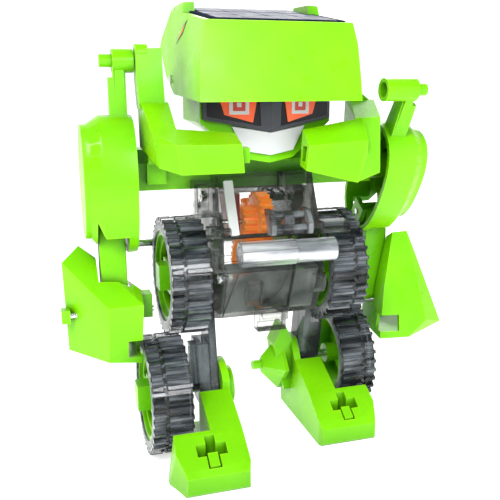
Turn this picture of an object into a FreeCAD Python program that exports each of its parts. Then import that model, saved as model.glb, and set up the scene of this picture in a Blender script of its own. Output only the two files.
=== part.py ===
import FreeCAD, Part
import Sketcher
import math
import os

# Solar robot kit: a walking robot on two pairs of toothed wheels, with feet, gearbox, arms,
# claws and a head with a solar panel. Millimetres. +Z is up, the ground is z = 0 and the
# robot faces -Y. X = 0 is the midplane: the robot's right is -X and its left is +X.

Vector = FreeCAD.Vector
doc = FreeCAD.newDocument("SolarRobotKit")
sheet = doc.addObject("Spreadsheet::Sheet", "Dims")
SIDES = {-1: "right", 1: "left"}
EXPORT_SHIFT = Vector(-3.7, 7.2, 0)  # brings the origin to the middle of the footprint


# ------------------------------------------------------------------ driving dimensions
def formula_of(value):
    return value.formula if isinstance(value, Dim) else "(%.6f)" % value


class Dim(float):
    """A length that carries its sheet formula through +, - and *.

    Any other operation gives a plain float, which is not bound to the sheet.
    """
    def __new__(cls, value, formula):
        self = super().__new__(cls, value)
        self.formula = formula
        return self

    def __add__(self, other):
        formula = "(%s + %s)" % (self.formula, formula_of(other))
        return Dim(float(self) + float(other), formula)

    def __mul__(self, other):
        formula = "(%s * %s)" % (self.formula, formula_of(other))
        return Dim(float(self) * float(other), formula)

    __radd__ = __add__
    __rmul__ = __mul__

    def __neg__(self):
        return self * -1

    def __sub__(self, other):
        return self + other * -1

    def __rsub__(self, other):
        return self * -1 + other


def dim(row, alias, value, note):
    """Writes one row of the sheet and returns its value."""
    sheet.set("A%d" % row, alias)
    sheet.set("B%d" % row, str(value))
    sheet.set("C%d" % row, note)
    sheet.setAlias("B%d" % row, alias)
    return Dim(value, "Dims." + alias)


wheel_rad = dim(1, "wheel_rad", 20.2, "tip radius of the toothed treads")
tread_root = dim(2, "tread_root", 18.75, "root radius of the tread teeth")
tread_bore = dim(3, "tread_bore", 15.6, "inside radius of the tread ring")
wheel_wide = dim(4, "wheel_wide", 13.0, "tread width")
row_narrow = dim(5, "row_narrow", 4.0, "width of the narrow outer tooth row")
row_gap = dim(6, "row_gap", 1.0, "groove between the tooth rows")
tread_teeth = int(dim(7, "tread_teeth", 36, "teeth per tread row"))
upper_inner = dim(8, "upper_inner", 21.1, "inner face of the upper wheels from the midplane")
lower_inner = dim(9, "lower_inner", 29.8, "inner face of the lower wheels from the midplane")
hip_z = dim(10, "hip_z", 58.9, "height of the drive axle")
stagger = dim(11, "stagger", 8.5, "fore and aft set of the ankles in the walking stance")
shaft_rad = dim(12, "shaft_rad", 1.5, "radius of the steel shafts")
run_gap = dim(13, "run_gap", 0.06, "running clearance on a shaft")
wall = dim(14, "wall", 1.3, "wall of the moulded shells")
box_half = dim(15, "box_half", 17.2, "half width of the gearbox")
box_split = dim(16, "box_split", 6.8, "plane where the two gearbox halves meet")
shoulder_z = dim(17, "shoulder_z", 90.3, "reference height of the shoulders")
pod_inner = dim(18, "pod_inner", 42.6, "inner rim of the arm pods")
pod_outer = dim(19, "pod_outer", 58.9, "outer face of the arm pods")
pod_half_y = dim(20, "pod_half_y", 13.6, "half depth of the arm pods")
pod_half_z = dim(21, "pod_half_z", 22.4, "half height of the arm pods")
arm_turn = dim(22, "arm_turn", 33.5, "forward swing of the left arm at rest, degrees")
tube_z = dim(23, "tube_z", 129.7, "height of the arm tube on the upright arm")
beam_half = dim(24, "beam_half", 41.8, "half length of the shoulder beam")
gear_mod = dim(25, "gear_mod", 0.8, "module of the gear train")
gear_wide = dim(26, "gear_wide", 4.2, "face width of the drive gear")
foot_long = dim(27, "foot_long", 41.0, "length of the foot")
visor_half = dim(28, "visor_half", 25.9, "half width of the visor at its lower edge")
visor_top = dim(29, "visor_top", 23.4, "half width of the visor at its upper edge")
visor_low = dim(30, "visor_low", 117.6, "height of the visor's lower edge")
visor_high = dim(31, "visor_high", 141.0, "height of the visor's front upper edge")
panel_thick = dim(32, "panel_thick", 1.6, "thickness of the solar panel")
neck_rad = dim(33, "neck_rad", 6.5, "radius of the neck flange")
doc.recompute()

TIGHT_GAP = 0.01  # clearance of a tight bore

# Places in the (y, z) plane
HIP = (0.0, hip_z)
ANKLE = {side: (side * stagger, wheel_rad) for side in SIDES}
REAR_SHAFT = (21.0, 66.0)
PIVOT = (4.6, shoulder_z + 3.2)  # shoulder pins
NECK_Y = 5.2


# ------------------------------------------------------------------ sketched bodies
NODES = []
CUTS = []
PLANES = {"x": "YZ", "y": "XZ", "z": "XY"}
MAX_LINKED_POINTS = 24  # longer outlines get no coincidence constraints


def bind(item, path, value):
    """Ties a property to the sheet if its value comes from there."""
    if isinstance(value, Dim):
        item.setExpression(path, value.formula)


def add_circle(sketch, across, up, radius):
    shape = Part.Circle(Vector(float(across), float(up), 0), Vector(0, 0, 1), float(radius))
    ring = sketch.addGeometry(shape, False)
    index = sketch.addConstraint(Sketcher.Constraint("Radius", ring, float(radius)))
    bind(sketch, "Constraints[%d]" % index, radius)
    for kind, place in (("DistanceX", across), ("DistanceY", up)):
        if abs(place) > 1e-9:
            index = sketch.addConstraint(Sketcher.Constraint(kind, -1, 1, ring, 3, float(place)))
            if place > 0:  # a negative coordinate keeps its fixed value
                bind(sketch, "Constraints[%d]" % index, place)


def add_outline(sketch, points):
    corners = [Vector(float(x), float(y), 0) for x, y in points]
    following = corners[1:] + corners[:1]
    lines = [sketch.addGeometry(Part.LineSegment(start, end), False)
             for start, end in zip(corners, following)]
    if len(lines) <= MAX_LINKED_POINTS:
        for line, after in zip(lines, lines[1:] + lines[:1]):
            sketch.addConstraint(Sketcher.Constraint("Coincident", line, 2, after, 1))


class SketchBody:
    """PartDesign body of prisms, each given by its axis and its low and high ends.

    A loop is a tuple (circle: two centre coordinates and a radius) or a list of points.
    Points are (y, z) for axis x, (x, z) for y and (x, y) for z. On a body with side = -1
    every x is mirrored, so a paired part is described once, in distances from the midplane.
    """
    def __init__(self, label, side=1, placement=None):
        self.body = doc.addObject("PartDesign::Body", label)
        self.body.Label = label
        self.label = label
        self.side = side
        self.count = 0
        NODES.append(self.body)
        if placement is not None:
            self.body.Placement = placement

    def sketch(self, axis, offset, loops):
        self.count += 1
        name = "%s_sk%d" % (self.label, self.count)
        sketch = self.body.newObject("Sketcher::SketchObject", name)
        role = PLANES[axis] + "_Plane"
        plane = next(f for f in self.body.Origin.OriginFeatures if f.Role == role)
        sketch.AttachmentSupport = (plane, "")
        sketch.MapMode = "FlatFace"
        sketch.AttachmentOffset = FreeCAD.Placement(
            Vector(0, 0, float(offset)), FreeCAD.Rotation())
        bind(sketch, "AttachmentOffset.Base.z", offset)
        flip = 1 if axis == "x" else self.side
        for loop in loops:
            if isinstance(loop, tuple):
                add_circle(sketch, flip * loop[0], loop[1], loop[2])
            else:
                add_outline(sketch, mirrored(flip, loop))
        return sketch

    def prism(self, kind, suffix, axis, offset, length, loops):
        sketch = self.sketch(axis, offset, loops)
        name = "%s_%s%d" % (self.label, suffix, self.count)
        feature = self.body.newObject("PartDesign::" + kind, name)
        feature.Profile = sketch
        feature.Length = float(length)
        bind(feature, "Length", length)
        return feature

    def ends(self, axis, low, high):
        """The ends along the sketch normal; the normal of the XZ plane is -Y."""
        if axis == "y" or (axis == "x" and self.side < 0):
            return -high, -low
        return low, high

    def pad(self, axis, low, high, *loops):
        start = self.ends(axis, low, high)[0]
        self.prism("Pad", "pad", axis, start, high - low, loops)

    def cut(self, axis, low, high, *loops):
        start = self.ends(axis, low, high)[1]
        CUTS.append(self.prism("Pocket", "cut", axis, start, high - low, loops))

    def loft(self, name, x_first, first, x_second, second):
        """Ruled loft between two outlines across X."""
        profile = self.sketch("x", self.side * x_first, [first])
        section = self.sketch("x", self.side * x_second, [second])
        loft = self.body.newObject("PartDesign::AdditiveLoft", name)
        loft.Profile = profile
        loft.Sections = [(section, [""])]
        loft.Ruled = True

    def chamfer_ends(self, size, x_end):
        """Chamfers the flat edges at x = -x_end and x = x_end."""
        doc.recompute()
        tip = self.body.Tip
        edges = ["Edge%d" % number for number, edge in enumerate(tip.Shape.Edges, 1)
                 if abs(abs(edge.BoundBox.XMin) - x_end) < 0.01 and edge.BoundBox.XLength < 0.01]
        chamfer = self.body.newObject("PartDesign::Chamfer", self.label + "_chamfer")
        chamfer.Base = (tip, edges)
        chamfer.Size = size


# ------------------------------------------------------------------ outlines
def mirrored(side, points):
    """Points with their first coordinate multiplied by the side sign."""
    return [(side * point[0],) + tuple(point[1:]) for point in points]


def shift(points, across, up):
    return [(x + across, y + up) for x, y in points]


def circle(centre, radius):
    return (centre[0], centre[1], radius)


def rect(x0, x1, y0, y1):
    return [(x0, y0), (x1, y0), (x1, y1), (x0, y1)]


def polar(centre, radius, angle):
    return (centre[0] + radius * math.cos(angle), centre[1] + radius * math.sin(angle))


def bar_outline(start, end, start_rad, end_rad, steps=8):
    """Bar with round ends between two points."""
    along = math.atan2(end[1] - start[1], end[0] - start[0])
    turns = [math.pi * i / steps for i in range(steps + 1)]
    return ([polar(start, start_rad, along + math.pi / 2 + turn) for turn in turns]
            + [polar(end, end_rad, along - math.pi / 2 + turn) for turn in turns])


def oval(centre, half_y, half_z, count=28, power=2.35):
    """Superellipse."""
    def stretch(ratio):
        return math.copysign(abs(ratio) ** (2 / power), ratio)
    angles = [2 * math.pi * i / count for i in range(count)]
    return [(centre[0] + half_y * stretch(math.cos(angle)),
             centre[1] + half_z * stretch(math.sin(angle))) for angle in angles]


def tread_outline(centre, phase):
    """Ring of straight-sided tread teeth, set 0.3 into the core."""
    root = tread_root - 0.3
    pitch = 2 * math.pi / tread_teeth
    # radius and angle of a tooth's corners, the angle in half pitches
    corners = ((root, -0.62), (wheel_rad, -0.30), (wheel_rad, 0.30), (root, 0.62))
    return [polar(centre, radius, phase + i * pitch + part * pitch / 2)
            for i in range(tread_teeth) for radius, part in corners]


def gear_outline(centre, teeth, phase):
    """Involute spur gear."""
    pressure = math.radians(20)
    backlash, addendum, dedendum = 0.16, 0.85, 1.2  # the last two in modules
    pitch_rad = teeth * gear_mod / 2
    base_rad = pitch_rad * math.cos(pressure)
    tip_rad = pitch_rad + addendum * gear_mod
    root_rad = pitch_rad - dedendum * gear_mod

    def involute(angle):
        return math.tan(angle) - angle

    half = math.pi / (2 * teeth) - backlash / (2 * pitch_rad) + involute(pressure)
    start_rad = max(base_rad, root_rad)
    flank = []  # radius, half angle of the tooth
    for i in range(5):
        radius = start_rad + (tip_rad - start_rad) * i / 4.0
        angle = math.acos(min(1.0, base_rad / radius))
        flank.append((radius, half - involute(angle)))
    if root_rad < start_rad:
        flank.insert(0, (root_rad, flank[0][1] + 0.01))
    tooth = [(radius, -turn) for radius, turn in flank]
    tooth += reversed(flank)
    return [polar(centre, radius, phase + 2 * math.pi * i / teeth + turn)
            for i in range(teeth) for radius, turn in tooth]


def mesh_phase(centre, teeth, phase, other_centre, other_teeth):
    """Phase of the other gear that turns its gaps to the teeth of this one."""
    toward = math.atan2(other_centre[1] - centre[1], other_centre[0] - centre[0])
    ratio = float(teeth) / other_teeth
    return toward + math.pi - ratio * (phase - toward) - math.pi / other_teeth


# ------------------------------------------------------------------ direct solids
def feature(label, shape):
    node = doc.addObject("Part::Feature", label)
    node.Label = label
    node.Shape = shape
    NODES.append(node)


def hull_planes(points):
    """Outward planes (normal, distance) of the convex hull of the points."""
    corners = [Vector(*point) for point in points]
    centre = Vector(0, 0, 0)
    for corner in corners:
        centre = centre + corner
    centre = centre * (1.0 / len(corners))
    planes = []
    count = len(corners)
    for i in range(count):
        for j in range(i + 1, count):
            for k in range(j + 1, count):
                normal = (corners[j] - corners[i]).cross(corners[k] - corners[i])
                if normal.Length < 1e-6:
                    continue
                normal = normal * (1.0 / normal.Length)
                distance = normal.dot(corners[i])
                if normal.dot(centre) > distance:
                    normal = normal * -1.0
                    distance = -distance
                if max(normal.dot(corner) for corner in corners) > distance + 1e-6:
                    continue
                known = any(normal.dot(n) > 1 - 1e-7 and abs(distance - d) < 1e-5
                            for n, d in planes)
                if not known:
                    planes.append((normal, distance))
    return planes


def plane_corners(planes):
    """Corners where three planes meet inside all the others."""
    corners = []
    count = len(planes)
    for i in range(count):
        for j in range(i + 1, count):
            for k in range(j + 1, count):
                (a, a_dist), (b, b_dist), (c, c_dist) = planes[i], planes[j], planes[k]
                determinant = a.dot(b.cross(c))
                if abs(determinant) < 1e-9:
                    continue
                total = b.cross(c) * a_dist + c.cross(a) * b_dist + a.cross(b) * c_dist
                corner = total * (1.0 / determinant)
                inside = all(n.dot(corner) <= d + 1e-5 for n, d in planes)
                if inside and not any((corner - other).Length < 1e-5 for other in corners):
                    corners.append(corner)
    return corners


def solid_from_planes(planes):
    corners = plane_corners(planes)
    faces = []
    for normal, distance in planes:
        rim = [p for p in corners if abs(normal.dot(p) - distance) < 2e-5]
        if len(rim) < 3:
            continue
        middle = Vector(0, 0, 0)
        for point in rim:
            middle = middle + point
        middle = middle * (1.0 / len(rim))
        across = rim[0] - middle
        across = across * (1.0 / across.Length)
        up = normal.cross(across)
        rim.sort(key=lambda p: math.atan2((p - middle).dot(up), (p - middle).dot(across)))
        faces.append(Part.Face(Part.makePolygon(rim + [rim[0]])))
    return Part.Solid(Part.Shell(faces))


def hull(points, inset=0.0):
    """Convex solid around the points, its faces moved inward by the inset."""
    planes = [(normal, distance - float(inset)) for normal, distance in hull_planes(points)]
    return solid_from_planes(planes)


def both(points):
    """The points and their mirror images across the midplane."""
    return mirrored(-1, points) + list(points)


def box(x0, x1, y0, y1, z0, z1):
    return Part.makeBox(x1 - x0, y1 - y0, z1 - z0, Vector(x0, y0, z0))


def side_box(side, near, far, *rest):
    """Box given by its near and far distances from the midplane."""
    if side < 0:
        return box(-far, -near, *rest)
    return box(near, far, *rest)


def rod_x(x0, x1, y, z, radius):
    return Part.makeCylinder(radius, x1 - x0, Vector(x0, y, z), Vector(1, 0, 0))


# ------------------------------------------------------------------ wheels
UPPER_BOSS = 1.4  # how far a hub's block stands out of the tread
LOWER_BOSS = 2.6


def build_tread(label, side, inner, centre, narrow_phase, wide_phase):
    """Tread ring: wide inner tooth row, groove, narrow outer row."""
    tread = SketchBody(label, side)
    outer = inner + wheel_wide
    wide_end = outer - row_narrow - row_gap
    narrow_start = wide_end + row_gap
    tread.pad("x", inner, outer, circle(centre, tread_root))
    tread.pad("x", inner, wide_end, tread_outline(centre, wide_phase))
    tread.pad("x", narrow_start, outer, tread_outline(centre, narrow_phase))
    tread.cut("x", inner - 1, outer + 1, circle(centre, tread_bore))


def build_hub(label, side, inner, centre, boss):
    """Wheel hub: rim, web with two half-round windows, centre boss."""
    hub = SketchBody(label, side)
    outer = inner + wheel_wide
    web_inner = outer - 3.6
    web_outer = outer - 1.8
    start = inner + 0.6
    top = outer + boss
    recess = circle(centre, tread_bore - 1.6)
    hub.pad("x", start, outer - 0.6, circle(centre, tread_bore - 0.05))
    hub.cut("x", inner, web_inner, recess)
    hub.cut("x", web_outer, outer, recess)
    for up in (1, -1):
        window = [polar(centre, 11.6, up * math.radians(14 + 152 * i / 12.0)) for i in range(13)]
        sill = [(-6.6, up * 2.8), (-5.6, up * 5.4), (5.6, up * 5.4), (6.6, up * 2.8)]
        hub.cut("x", web_inner - 1, web_outer + 1, window + shift(sill, *centre))
    # round tube inboard, oblong block outboard, bore closed at the outer end
    hub.pad("x", start, web_outer, circle(centre, 3.6))
    hub.pad("x", web_inner, top, shift(rect(-3.4, 3.4, -4.3, 4.3), *centre))
    hub.cut("x", inner - 1, top - 1.2, circle(centre, shaft_rad + run_gap))


def build_wheels(side):
    """Upper and lower wheel; the upper narrow row meshes with the lower wide row."""
    name = SIDES[side]
    ankle = ANKLE[side]
    half_pitch = math.pi / tread_teeth
    upper_narrow = math.atan2(ankle[1] - hip_z, ankle[0])
    lower_wide = mesh_phase(HIP, tread_teeth, upper_narrow, ankle, tread_teeth)
    build_tread("upper_tread_" + name, side, upper_inner, HIP,
                upper_narrow, upper_narrow + half_pitch)
    build_tread("lower_tread_" + name, side, lower_inner, ankle,
                lower_wide + half_pitch, lower_wide)
    build_hub("upper_hub_" + name, side, upper_inner, HIP, UPPER_BOSS)
    build_hub("lower_hub_" + name, side, lower_inner, ankle, LOWER_BOSS)


# ------------------------------------------------------------------ legs
def build_leg_strut(side):
    """Thin link beside the upper wheel, box section beside the ankle wheel."""
    strut = SketchBody("leg_strut_" + SIDES[side], side)
    ankle = ANKLE[side]
    y, z = ankle
    lean = y / (z - hip_z)

    def beside(height, offset):
        """Point at a height, offset along Y from the line through hip and ankle."""
        return (lean * (height - hip_z) + offset, height)

    section = [beside(36.5, -5.0), beside(36.5, 4.6), (y + 4.6, z),
               (y + 3.4, z - 4.4), (y - 3.6, z - 4.4), (y - 5.4, z)]
    ridge = [beside(36.0, -2.6), beside(36.0, 1.2), (y + 1.6, z + 0.6), (y - 3.0, z + 0.6)]
    strut.pad("x", 17.9, 20.5, bar_outline(HIP, ankle, 6.0, 5.4))
    strut.pad("x", 19.6, 24.6, section)
    strut.pad("x", 23.8, 26.6, ridge)
    strut.cut("x", 13.0, 29.0, circle(HIP, shaft_rad + run_gap))
    strut.cut("x", 13.0, 29.0, circle(ankle, shaft_rad + TIGHT_GAP))


def build_ankle_axle(side):
    axle = SketchBody("ankle_axle_" + SIDES[side], side)
    outer_end = lower_inner + wheel_wide + LOWER_BOSS - 1.6
    axle.pad("x", 14.6, outer_end, circle(ANKLE[side], shaft_rad))


# ------------------------------------------------------------------ feet
# Outlines are (y from the ankle, z) or (x from the midplane, y from the ankle).
FOOT_INNER, FOOT_STEP, FOOT_OUTER = 15.0, 25.4, 39.4
LUG_OUTER = 17.5
HEEL_Y = 6.4
TOE_Y = HEEL_Y - foot_long
INSTEP = [(-8.1, 22.2), (-23.2, 15.0), (-32.6, 8.6), (TOE_Y, 6.4)]
FOOT_INNER_OUTLINE = INSTEP + [
    (TOE_Y, 1.0), (-33.8, 0.0), (HEEL_Y, 0.0), (HEEL_Y, 4.2), (2.0, 6.2), (-6.9, 6.2), (-6.9, 21.6)]
FOOT_OUTER_OUTLINE = [(-22.4, 15.38)] + INSTEP[1:] + [(TOE_Y, 1.0), (-33.8, 0.0), (-22.4, 0.0)]
LUG_RIGHT = [(-8.1, 22.2)] + [
    polar((0.0, wheel_rad), 10.0, math.radians(150 - 15 * i)) for i in range(12)
] + [(HEEL_Y, 4.0), (-8.1, 4.0)]
LUG_LEFT = [(-8.1, 22.2), (-6.0, 26.0), (-3.4, 29.2), (3.4, 29.2), (7.2, 24.0), (8.2, 18.0),
            (HEEL_Y, 4.0), (-8.1, 4.0)]
# roof-shaped tower on the left foot: x, z
TOWER = [(17.4, 24.4), (12.8, 34.6), (11.6, 34.6), (8.2, 27.4), (9.6, 19.0), (12.5, 9.0),
         (17.4, 9.0)]
OUTER_SLOPE = [(37.3, 16.0), (45.0, 16.0), (45.0, -1.0), (39.4, -1.0), (39.4, 0.0)]  # x, z
TOE_CORNERS = [
    [(40.0, -23.5), (40.0, -36.0), (35.2, -36.0), (37.6, -29.0)],
    [(14.0, -30.0), (14.0, -36.0), (16.4, -36.0)]]
UNDERSIDE = [
    [(17.2, -31.6), (34.0, -31.6), (35.0, -24.4), (17.2, -24.4)],
    rect(17.2, 23.4, -22.6, 4.4)]
TONGUE_X0, TONGUE_X1 = 24.8, 28.0
CROSS_SLOT = [
    (21.6, -29.6), (TONGUE_X0 - 0.5, -29.6), (TONGUE_X0 - 0.5, -33.0), (TONGUE_X0, -33.0),
    (TONGUE_X0, -28.8), (TONGUE_X1, -28.8), (TONGUE_X1, -33.0), (TONGUE_X1 + 0.5, -33.0),
    (TONGUE_X1 + 0.5, -29.6), (31.2, -29.6), (31.2, -26.2), (TONGUE_X1, -26.2),
    (TONGUE_X1, -23.8), (TONGUE_X0, -23.8), (TONGUE_X0, -26.2), (21.6, -26.2)]


def add_round_socket(foot, ankle):
    """Round boss with a blind hole on the inner side of the right foot."""
    foot.pad("x", 12.6, FOOT_INNER, circle(ankle, 6.4))
    foot.cut("x", 12.0, 13.9, circle(ankle, 1.75))


def add_pointed_boss(foot, ankle):
    """Tower and diamond boss tapering inward to a peg, on the left foot."""
    centre = (ankle[0], ankle[1] - 1.6)

    def diamond(half_y, half_z):
        return shift([(0, half_z), (-half_y, 0), (0, -half_z), (half_y, 0)], *centre)

    foot.pad("y", ankle[0] - 4.2, ankle[0] + 4.2, TOWER)
    foot.loft("foot_boss_loft", 11.2, diamond(9.2, 10.6), 4.4, diamond(3.0, 3.2))
    foot.pad("x", 11.2, 12.6, diamond(9.2, 10.6))
    foot.pad("x", 1.0, 4.8, circle(centre, 1.7))


def build_foot(side):
    foot = SketchBody("foot_" + SIDES[side], side)
    ankle = ANKLE[side]
    ankle_y = ankle[0]

    def at_ankle(outline):
        """Moves a (y, z) outline to the ankle."""
        return shift(outline, ankle_y, 0)

    def plan(outline):
        """Moves an (x, y) outline to the ankle."""
        return shift(outline, 0, ankle_y)

    foot.pad("x", FOOT_INNER, FOOT_STEP, at_ankle(FOOT_INNER_OUTLINE))
    foot.pad("x", FOOT_STEP, FOOT_OUTER, at_ankle(FOOT_OUTER_OUTLINE))
    # ankle wall beside the strut
    foot.pad("x", FOOT_INNER, LUG_OUTER, at_ankle(LUG_RIGHT if side < 0 else LUG_LEFT))
    if side < 0:
        add_round_socket(foot, ankle)
    else:
        add_pointed_boss(foot, ankle)
    foot.cut("x", 14.4, 17.6, circle(ankle, shaft_rad + run_gap))
    foot.cut("y", ankle_y - 40.0, ankle_y + 40.0, OUTER_SLOPE)
    for corner in TOE_CORNERS:
        foot.cut("z", -1.0, 20.0, plan(corner))
    for hollow in UNDERSIDE:
        foot.cut("z", -1.0, 4.2, plan(hollow))
    # cross slot with a tongue running forward, notched at its front end
    foot.cut("z", 3.0, 20.0, plan(CROSS_SLOT))
    foot.cut("z", 7.4, 9.4, plan(rect(TONGUE_X0, TONGUE_X1, -33.0, -32.5)))


# ------------------------------------------------------------------ gearbox
# Side outlines of the case, outside and inside: y, z
CASE_OUTSIDE = [
    (-13.5, 46.3), (-20.5, 63.0), (-20.0, 64.6), (-15.2, 66.0), (-15.0, 72.6), (-17.2, 74.2),
    (-8.0, 92.5), (-7.4, 94.0), (-2.6, 94.0), (-2.6, 88.2), (17.5, 88.2), (24.2, 76.0),
    (24.2, 58.0), (14.0, 43.9), (-6.0, 43.9)]
CASE_INSIDE = [
    (-12.5, 47.5), (-18.9, 63.0), (-13.9, 64.9), (-13.7, 73.2), (-15.5, 74.9), (-7.0, 91.8),
    (-6.3, 92.7), (-3.9, 92.7), (-3.9, 86.9), (16.7, 86.9), (22.9, 75.6), (22.9, 58.4),
    (13.4, 45.2), (-5.7, 45.2)]
SCREWS = [(8.0, 84.4), (18.4, 79.4), (19.6, 60.4), (-15.2, 60.6)]  # y, z
FRONT_TUBE = (-19.7, 69.2)


def cut_case_bores(shell, low, high):
    shell.cut("x", low, high, circle(HIP, shaft_rad + run_gap))
    shell.cut("x", low, high, circle(REAR_SHAFT, shaft_rad + TIGHT_GAP))


def build_gearbox_shell_right():
    shell = SketchBody("gearbox_shell_right")
    shell.pad("x", -box_half, box_split, CASE_OUTSIDE)
    shell.cut("x", wall - box_half, box_split, CASE_INSIDE)
    # side box above the wheel, open at the front
    shell.pad("x", -24.2, -box_half, [(-9.4, 80.0), (-8.6, 91.6), (-2.7, 91.6), (-2.7, 80.0)])
    shell.cut("y", -12.0, -4.0, rect(-23.0, -18.2, 81.2, 90.4))
    # stub tubes and the bracket beside the front tube
    shell.pad("x", -20.8, -box_half, circle((-11.4, 75.4), 2.2))
    shell.pad("x", -20.6, -14.7, circle((-17.9, 76.2), 1.7))
    bracket = [(-19.4, 63.6), (-19.4, 69.6), (-17.4, 70.6), (-13.0, 70.6), (-13.0, 63.6)]
    shell.pad("x", -20.4, -box_half, bracket)
    shell.cut("y", -20.0, -14.0, rect(-19.4, -17.9, 64.6, 69.4))
    cut_case_bores(shell, -18.0, 10.0)
    for place in SCREWS:
        shell.cut("x", -18.0, -14.0, circle(place, 1.0))


def build_gearbox_shell_left():
    shell = SketchBody("gearbox_shell_left")
    shell.pad("x", box_split, box_half, CASE_OUTSIDE)
    shell.cut("x", box_split - 1.0, box_half - wall, CASE_INSIDE)
    # block at the front reaching outward, and a catch below it
    shell.pad("y", -21.5, -15.5, rect(16.2, 26.0, 75.0, 78.6))
    catch = [(-17.0, 55.4), (-21.0, 54.8), (-22.4, 57.4), (-22.4, 61.0), (-19.2, 61.0)]
    shell.pad("x", 13.2, 17.2, catch)
    cut_case_bores(shell, 2.0, 30.0)


def build_front_tube():
    """Open tube across the front: eight-sided at the right, round at the left."""
    tube = SketchBody("front_tube")
    octagon = [polar(FRONT_TUBE, 4.25, math.radians(22.5 + 45 * i)) for i in range(8)]
    tube.pad("x", -12.2, 6.8, octagon)
    tube.pad("x", 6.8, 20.8, circle(FRONT_TUBE, 3.9))
    tube.cut("x", -14.2, 21.8, circle(FRONT_TUBE, 2.6))


def build_front_clip():
    """Clip on the sloping front: cheeks, cross rods, base strip and middle block."""
    clip = SketchBody("front_clip")
    cheek = [(-17.15, 74.4), (-20.8, 75.0), (-21.2, 78.6), (-18.0, 82.6), (-13.05, 82.6)]
    strip = [(-17.15, 74.4), (-18.3, 74.9), (-16.9, 77.6), (-15.6, 77.5)]
    block = [(-17.0, 74.8), (-20.2, 76.0), (-18.6, 81.4), (-13.7, 81.4)]
    clip.pad("x", -1.8, 0.1, cheek)
    clip.pad("x", 10.9, 12.8, cheek)
    clip.pad("x", -0.6, 11.6, circle((-19.2, 77.0), 1.15))
    clip.pad("x", -0.6, 11.6, circle((-16.4, 80.8), 1.3))
    clip.pad("x", -0.6, 11.6, strip)
    clip.pad("x", 3.4, 6.8, block)


def build_lower_hook():
    """Hook low on the gearbox front."""
    hook = SketchBody("lower_hook")
    outline = [(-15.15, 50.0), (-19.8, 50.4), (-20.2, 46.2), (-18.2, 45.4), (-18.2, 41.8),
               (-13.4, 41.8), (-13.6, 46.1)]
    hook.pad("x", -5.6, 4.6, outline)
    hook.cut("x", -4.2, 3.2, [(-21.0, 46.9), (-21.0, 49.2), (-17.0, 48.6), (-16.0, 46.9)])


def build_front_latch():
    latch = SketchBody("front_latch")
    latch.pad("x", -10.0, -4.6, [(-16.3, 52.6), (-19.6, 51.6), (-22.6, 59.6), (-19.5, 60.4)])
    latch.cut("x", -9.2, -5.4, [(-18.3, 53.6), (-19.2, 53.2), (-21.6, 59.0), (-20.4, 59.2)])


def build_white_link():
    """Flat link down the sloping front."""
    link = SketchBody("white_link")
    link.pad("x", -14.6, -11.5, [(-16.92, 74.86), (-17.9, 75.34), (-9.5, 92.0), (-8.5, 91.6)])


def build_case_screws():
    """Cross-slotted screws in the right face of the case, as one compound."""
    head_x, neck_x, tip_x = -18.2, -17.25, -14.6
    slot_low, slot_high = -18.3, -17.75
    screws = []
    for y, z in SCREWS:
        screw = rod_x(head_x, neck_x, y, z, 1.9).fuse(rod_x(neck_x, tip_x, y, z, 0.9))
        for half_y, half_z in ((0.25, 1.2), (1.2, 0.25)):
            screw = screw.cut(box(slot_low, slot_high, y - half_y, y + half_y,
                                  z - half_z, z + half_z))
        screws.append(screw.removeSplitter())
    feature("case_screws", Part.makeCompound(screws))


# ------------------------------------------------------------------ shafts, gears and motor
DRIVE_TEETH, PINION_TEETH, COUNTER_TEETH, MOTOR_TEETH = 32, 12, 24, 10
DRIVE_PHASE = 0.05
COUNTER_PHASE = 0.11
COUNTER_Y = -1.5
DRIVE_SPACING = (DRIVE_TEETH + PINION_TEETH) * gear_mod / 2
MOTOR_SPACING = (COUNTER_TEETH + MOTOR_TEETH) * gear_mod / 2
COUNTER = (COUNTER_Y, hip_z + math.sqrt(DRIVE_SPACING ** 2 - COUNTER_Y ** 2))
MOTOR = polar(COUNTER, MOTOR_SPACING, math.radians(5.0))
COUNTER_SHAFT_RAD = 1.0
MOTOR_SHAFT_RAD = 0.75


def build_rod(label, x0, x1, centre, radius, side=1):
    """Plain round rod along X."""
    rod = SketchBody(label, side)
    rod.pad("x", x0, x1, circle(centre, radius))
    return rod


def build_shafts():
    drive_end = upper_inner + 12.4
    rear_end = 42.2
    build_rod("drive_axle", -drive_end, drive_end, HIP, shaft_rad)
    rear = build_rod("rear_shaft", -rear_end, rear_end, REAR_SHAFT, shaft_rad)
    rear.chamfer_ends(0.4, rear_end)
    build_rod("gear_shaft", -15.8, 6.2, COUNTER, COUNTER_SHAFT_RAD)
    build_rod("motor_shaft", -2.2, 13.8, MOTOR, MOTOR_SHAFT_RAD)


def build_drive_gear():
    """Gear on the drive axle, recessed on both faces, with five holes."""
    gear = SketchBody("drive_gear")
    low = -6.0
    high = low + gear_wide
    recess_inner, recess_outer, depth = 3.6, 10.6, 1.2
    hole_ring = (recess_inner + recess_outer) / 2
    hole_rad = (recess_outer - recess_inner) * 0.33
    recess = [circle(HIP, recess_outer), circle(HIP, recess_inner)]
    holes = [circle(polar(HIP, hole_ring, i * math.pi / 2.5), hole_rad) for i in range(5)]
    gear.pad("x", low, high, gear_outline(HIP, DRIVE_TEETH, DRIVE_PHASE))
    gear.cut("x", high - depth, high, *recess)
    gear.cut("x", low, low + depth, *recess)
    gear.cut("x", low - 0.5, high, *holes)
    gear.cut("x", low - 20.0, high + 20.0, circle(HIP, shaft_rad + TIGHT_GAP))


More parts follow.
